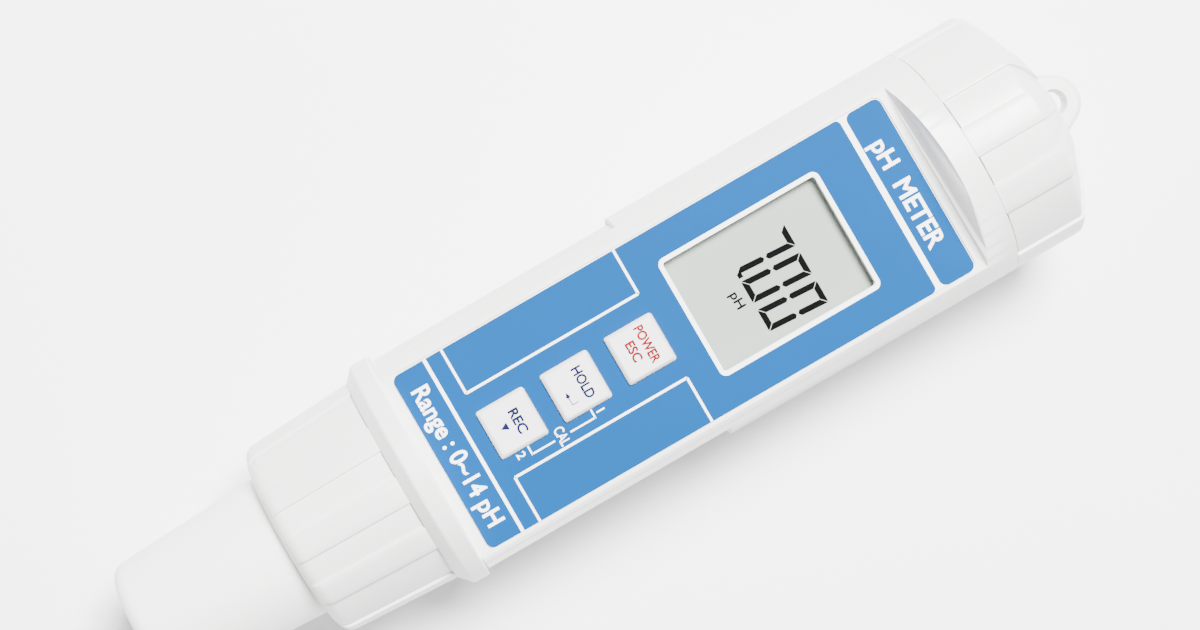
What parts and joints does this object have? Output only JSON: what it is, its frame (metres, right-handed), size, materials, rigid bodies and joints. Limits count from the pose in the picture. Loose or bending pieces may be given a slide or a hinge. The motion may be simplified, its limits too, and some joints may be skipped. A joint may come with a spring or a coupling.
{
  "type": "ph meter",
  "caption": "Pen-type pH meter with a display, push keys, a screw-off battery cap, a replaceable electrode under a lock ring and a storage cap.",
  "frame": {"origin": "centre of the bounding box's bottom face: under the middle of the pen's length, in the plane that the pad on its back rests on", "axes": "+X along the pen towards the battery cap, +Z out of the front face with the display, +Y across the pen"},
  "size_m": [0.174, 0.0402, 0.0404],
  "materials": {
    "housing_plastic": "satin moulded white ABS",
    "storage_plastic": "soft white polyethylene",
    "label_film": "printed blue polycarbonate film",
    "key_silicone": "light grey silicone rubber",
    "lens_acrylic": "clear acrylic",
    "display_glass": "reflective display glass",
    "black_plastic": "black moulded plastic",
    "circuit_board": "green glass-fibre board with solder mask",
    "steel": "zinc-plated steel",
    "brass": "plated brass",
    "silver": "bright silver",
    "cell_jacket": "printed steel can",
    "black_rubber": "nitrile rubber",
    "sensor_epoxy": "dark epoxy",
    "bulb_glass": "thin pH-sensitive glass",
    "ceramic": "porous ceramic",
    "sponge": "open-cell cellulose sponge",
    "lead_jacket": "red wire insulation"
  },
  "bodies": {
    "housing": {"amplifier_chip": "black_plastic", "battery_1": "cell_jacket", "battery_2": "cell_jacket", "battery_3": "cell_jacket", "battery_4": "cell_jacket", "battery_bulkhead": "black_plastic", "bay_contact_1": "steel", "bay_contact_2": "brass", "bay_contact_3": "brass", "bay_contact_4": "steel", "board_screw_1": "steel", "board_screw_2": "steel", "board_screw_3": "steel", "board_screw_4": "steel", "cap_seal_ring": "black_rubber", "capacitor": "black_plastic", "contact_strip_left": "black_rubber", "contact_strip_right": "black_rubber", "crystal_can": "silver", "display_cell": "display_glass", "face_label": "label_film", "key_seal": "black_rubber", "main_board": "circuit_board", "main_housing": "housing_plastic", "processor_chip": "black_plastic", "signal_lead": "lead_jacket", "signal_socket": "black_plastic", "switch_hold": "black_plastic", "switch_power": "black_plastic", "switch_rec": "black_plastic", "trimmer": "housing_plastic", "window_lens": "lens_acrylic"},
    "power_key": {"key_power": "key_silicone"},
    "hold_key": {"key_hold": "key_silicone"},
    "rec_key": {"key_rec": "key_silicone"},
    "cap_carrier": {"cap_contact_plate": "black_plastic", "cap_contact_1": "brass", "cap_contact_2": "steel", "cap_contact_3": "steel", "cap_contact_4": "brass"},
    "cap": {"battery_cap": "housing_plastic"},
    "electrode": {"electrode_handle": "housing_plastic", "plug_seal_ring": "black_rubber", "grip_ring": "black_rubber", "plug_pin": "brass", "sensor_body": "sensor_epoxy", "glass_bulb": "bulb_glass", "silver_wire": "silver", "reference_junction": "ceramic", "sensor_guard": "housing_plastic"},
    "ring": {"lock_ring": "housing_plastic"},
    "storage": {"storage_cap": "storage_plastic", "storage_sponge": "sponge"}
  },
  "joints": [
    {"name": "power_key_press", "type": "slide", "parent": "housing", "child": "power_key", "axis": [0, 0, -1], "range_m": [0, 0.0006], "stiffness_N_per_m": 1500, "springref_m": -0.0002},
    {"name": "hold_key_press", "type": "slide", "parent": "housing", "child": "hold_key", "axis": [0, 0, -1], "range_m": [0, 0.0006], "stiffness_N_per_m": 1500, "springref_m": -0.0002},
    {"name": "rec_key_press", "type": "slide", "parent": "housing", "child": "rec_key", "axis": [0, 0, -1], "range_m": [0, 0.0006], "stiffness_N_per_m": 1500, "springref_m": -0.0002},
    {"name": "battery_cap_lift", "type": "slide", "parent": "housing", "child": "cap_carrier", "axis": [1, 0, 0], "range_m": [0, 0.009]},
    {"name": "battery_cap_turn", "type": "hinge", "parent": "cap_carrier", "child": "cap", "pos_m": [0.07, 0, 0.02035], "axis": [1, 0, 0], "range_deg": [0, 1080]},
    {"name": "electrode_draw", "type": "slide", "parent": "housing", "child": "electrode", "axis": [-1, 0, 0], "range_m": [0, 0.0075]},
    {"name": "lock_ring_turn", "type": "hinge", "parent": "electrode", "child": "ring", "pos_m": [-0.05, 0, 0.02035], "axis": [-1, 0, 0], "range_deg": [0, 1080]},
    {"name": "storage_cap_pull", "type": "slide", "parent": "electrode", "child": "storage", "axis": [-1, 0, 0], "range_m": [0, 0.03]}
  ],
  "couplings": [
    {"joint": "battery_cap_turn", "follows": "battery_cap_lift", "rad_per_m": 2094.4},
    {"joint": "lock_ring_turn", "follows": "electrode_draw", "rad_per_m": 2513.3}
  ]
}
